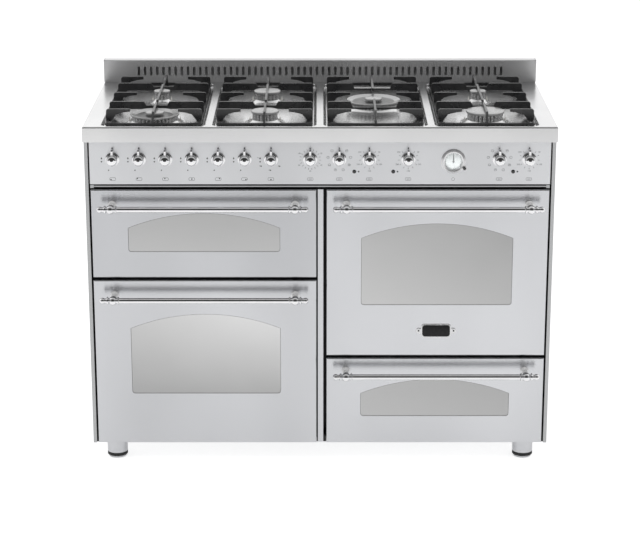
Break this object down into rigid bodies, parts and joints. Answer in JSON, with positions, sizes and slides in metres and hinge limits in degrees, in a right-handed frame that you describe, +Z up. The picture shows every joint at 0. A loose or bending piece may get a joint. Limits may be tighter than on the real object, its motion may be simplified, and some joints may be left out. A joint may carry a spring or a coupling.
{
  "type": "range cooker",
  "caption": "Free-standing wide range cooker: gas hob with cast pan supports, two ovens and a grill oven with arched windows, storage drawer, bar handles, turned knobs and a clock.",
  "frame": {"origin": "centre of the bounding box's foot, on the floor that the feet stand on", "axes": "+X to the right along the front, +Y from the front to the back, +Z up"},
  "size_m": [1.2, 0.6514, 0.977],
  "materials": {
    "brushed_steel": "fine brushed",
    "hob_steel": "satin",
    "plated": "polished",
    "frame_steel": "plain galvanised",
    "oven_enamel": "gloss enamel",
    "cap_enamel": "satin grey enamel",
    "cast_iron": "matt enamelled",
    "cast_aluminium": "cast",
    "element_steel": "dark oxidised",
    "brass": "satin",
    "seal": "woven",
    "white_plastic": "moulded",
    "lamp": "gloss",
    "hands": "matt",
    "oven_glass": "mirror-coated",
    "clear_glass": "clear"
  },
  "bodies": {
    "root": {"side_panel_left": "brushed_steel", "side_panel_right": "brushed_steel", "base_frame": "frame_steel", "back_panel": "frame_steel", "front_frame": "frame_steel", "hob_top": "hob_steel", "upstand": "brushed_steel", "control_panel": "brushed_steel", "oven_liner_top_left": "oven_enamel", "oven_liner_bottom_left": "oven_enamel", "oven_liner_right": "oven_enamel", "heating_elements": "element_steel", "door_seals": "seal", "drawer_runners": "frame_steel", "burner_cups": "cast_aluminium", "burner_heads": "cast_aluminium", "burner_caps": "cap_enamel", "gas_manifold": "brass", "electrical_units": "white_plastic", "clock_case": "plated", "clock_glass": "clear_glass", "indicator_lamps": "lamp", "feet": "plated"},
    "door_bottom_left": {"door_panel_bottom_left": "brushed_steel", "door_glass_bottom_left": "oven_glass", "door_handle_bottom_left": "plated"},
    "door_right": {"door_panel_right": "brushed_steel", "door_glass_right": "oven_glass", "door_handle_right": "plated"},
    "door_top_left": {"door_panel_top_left": "brushed_steel", "door_glass_top_left": "oven_glass", "door_handle_top_left": "plated"},
    "drawer": {"drawer_front": "brushed_steel", "drawer_glass": "oven_glass", "drawer_handle": "plated", "drawer_box": "frame_steel"},
    "knob_gas_1": {"knob_gas_1": "plated"},
    "knob_gas_2": {"knob_gas_2": "plated"},
    "knob_gas_3": {"knob_gas_3": "plated"},
    "knob_gas_4": {"knob_gas_4": "plated"},
    "knob_gas_5": {"knob_gas_5": "plated"},
    "knob_gas_6": {"knob_gas_6": "plated"},
    "knob_gas_7": {"knob_gas_7": "plated"},
    "knob_timer": {"knob_timer": "plated"},
    "knob_selector_left": {"knob_selector_left": "plated"},
    "knob_thermostat_top_left": {"knob_thermostat_top_left": "plated"},
    "knob_thermostat_left": {"knob_thermostat_left": "plated"},
    "knob_selector_right": {"knob_selector_right": "plated"},
    "knob_thermostat_right": {"knob_thermostat_right": "plated"},
    "clock_knob": {"clock_knob": "plated"},
    "minute_hand": {"minute_hand": "hands"},
    "hour_hand": {"hour_hand": "hands"},
    "fan": {"convection_fan": "frame_steel"},
    "pan_support_left": {"pan_support_left": "cast_iron"},
    "pan_support_mid_left": {"pan_support_mid_left": "cast_iron"},
    "pan_support_wok": {"pan_support_wok": "cast_iron"},
    "pan_support_right": {"pan_support_right": "cast_iron"},
    "wire_shelf_top_left": {"wire_shelf_top_left": "plated"},
    "wire_shelf_bottom_left": {"wire_shelf_bottom_left": "plated"},
    "wire_shelf_right": {"wire_shelf_right": "plated"}
  },
  "joints": [
    {"name": "door_bottom_left_hinge", "type": "hinge", "parent": "root", "child": "door_bottom_left", "pos_m": [-0.2965, -0.25425, 0.073], "axis": [1, 0, 0], "range_deg": [0, 90], "stiffness_Nm_per_rad": 8, "springref_deg": -17.19},
    {"name": "door_right_hinge", "type": "hinge", "parent": "root", "child": "door_right", "pos_m": [0.30025, -0.25425, 0.316], "axis": [1, 0, 0], "range_deg": [0, 90], "stiffness_Nm_per_rad": 8, "springref_deg": -17.19},
    {"name": "door_top_left_hinge", "type": "hinge", "parent": "root", "child": "door_top_left", "pos_m": [-0.2965, -0.25425, 0.528], "axis": [1, 0, 0], "range_deg": [0, 90], "stiffness_Nm_per_rad": 3, "springref_deg": -17.19},
    {"name": "drawer_slide", "type": "slide", "parent": "root", "child": "drawer", "axis": [0, -1, 0], "range_m": [0, 0.3]},
    {"name": "knob_gas_1_turn", "type": "hinge", "parent": "root", "child": "knob_gas_1", "pos_m": [-0.5252, -0.26425, 0.829], "axis": [0, -1, 0], "range_deg": [0, 160]},
    {"name": "knob_gas_2_turn", "type": "hinge", "parent": "root", "child": "knob_gas_2", "pos_m": [-0.4583, -0.26425, 0.829], "axis": [0, -1, 0], "range_deg": [0, 160]},
    {"name": "knob_gas_3_turn", "type": "hinge", "parent": "root", "child": "knob_gas_3", "pos_m": [-0.3914, -0.26425, 0.829], "axis": [0, -1, 0], "range_deg": [0, 160]},
    {"name": "knob_gas_4_turn", "type": "hinge", "parent": "root", "child": "knob_gas_4", "pos_m": [-0.3245, -0.26425, 0.829], "axis": [0, -1, 0], "range_deg": [0, 160]},
    {"name": "knob_gas_5_turn", "type": "hinge", "parent": "root", "child": "knob_gas_5", "pos_m": [-0.2576, -0.26425, 0.829], "axis": [0, -1, 0], "range_deg": [0, 160]},
    {"name": "knob_gas_6_turn", "type": "hinge", "parent": "root", "child": "knob_gas_6", "pos_m": [-0.1907, -0.26425, 0.829], "axis": [0, -1, 0], "range_deg": [0, 160]},
    {"name": "knob_gas_7_turn", "type": "hinge", "parent": "root", "child": "knob_gas_7", "pos_m": [-0.1238, -0.26425, 0.829], "axis": [0, -1, 0], "range_deg": [0, 240]},
    {"name": "knob_timer_turn", "type": "hinge", "parent": "root", "child": "knob_timer", "pos_m": [-0.0247, -0.26425, 0.829], "axis": [0, -1, 0], "range_deg": [-330, 0]},
    {"name": "knob_selector_left_turn", "type": "hinge", "parent": "root", "child": "knob_selector_left", "pos_m": [0.0489, -0.26425, 0.829], "axis": [0, -1, 0], "continuous": true},
    {"name": "knob_thermostat_top_left_turn", "type": "hinge", "parent": "root", "child": "knob_thermostat_top_left", "pos_m": [0.1249, -0.26425, 0.829], "axis": [0, -1, 0], "range_deg": [-300, 0]},
    {"name": "knob_thermostat_left_turn", "type": "hinge", "parent": "root", "child": "knob_thermostat_left", "pos_m": [0.2235, -0.26425, 0.829], "axis": [0, -1, 0], "range_deg": [-300, 0]},
    {"name": "knob_selector_right_turn", "type": "hinge", "parent": "root", "child": "knob_selector_right", "pos_m": [0.4544, -0.26425, 0.829], "axis": [0, -1, 0], "continuous": true},
    {"name": "knob_thermostat_right_turn", "type": "hinge", "parent": "root", "child": "knob_thermostat_right", "pos_m": [0.5298, -0.26425, 0.829], "axis": [0, -1, 0], "range_deg": [-300, 0]},
    {"name": "clock_knob_turn", "type": "hinge", "parent": "root", "child": "clock_knob", "pos_m": [0.3659, -0.26725, 0.8066], "axis": [0, -1, 0], "continuous": true},
    {"name": "minute_hand_turn", "type": "hinge", "parent": "root", "child": "minute_hand", "pos_m": [0.3378, -0.26725, 0.824], "axis": [0, -1, 0], "continuous": true},
    {"name": "hour_hand_turn", "type": "hinge", "parent": "root", "child": "hour_hand", "pos_m": [0.3378, -0.26725, 0.824], "axis": [0, -1, 0], "continuous": true},
    {"name": "fan_spin", "type": "hinge", "parent": "root", "child": "fan", "pos_m": [0.30025, 0.18575, 0.548], "axis": [0, -1, 0], "continuous": true},
    {"name": "pan_support_left_lift", "type": "slide", "parent": "root", "child": "pan_support_left", "axis": [0, 0, 1], "range_m": [0, 0.12]},
    {"name": "pan_support_mid_left_lift", "type": "slide", "parent": "root", "child": "pan_support_mid_left", "axis": [0, 0, 1], "range_m": [0, 0.12]},
    {"name": "pan_support_wok_lift", "type": "slide", "parent": "root", "child": "pan_support_wok", "axis": [0, 0, 1], "range_m": [0, 0.12]},
    {"name": "pan_support_right_lift", "type": "slide", "parent": "root", "child": "pan_support_right", "axis": [0, 0, 1], "range_m": [0, 0.12]},
    {"name": "wire_shelf_top_left_slide", "type": "slide", "parent": "root", "child": "wire_shelf_top_left", "axis": [0, -1, 0], "range_m": [0, 0.03]},
    {"name": "wire_shelf_bottom_left_slide", "type": "slide", "parent": "root", "child": "wire_shelf_bottom_left", "axis": [0, -1, 0], "range_m": [0, 0.03]},
    {"name": "wire_shelf_right_slide", "type": "slide", "parent": "root", "child": "wire_shelf_right", "axis": [0, -1, 0], "range_m": [0, 0.03]}
  ],
  "couplings": [
    {"joint": "minute_hand_turn", "follows": "clock_knob_turn", "ratio": 1},
    {"joint": "hour_hand_turn", "follows": "clock_knob_turn", "ratio": 0.083333}
  ]
}
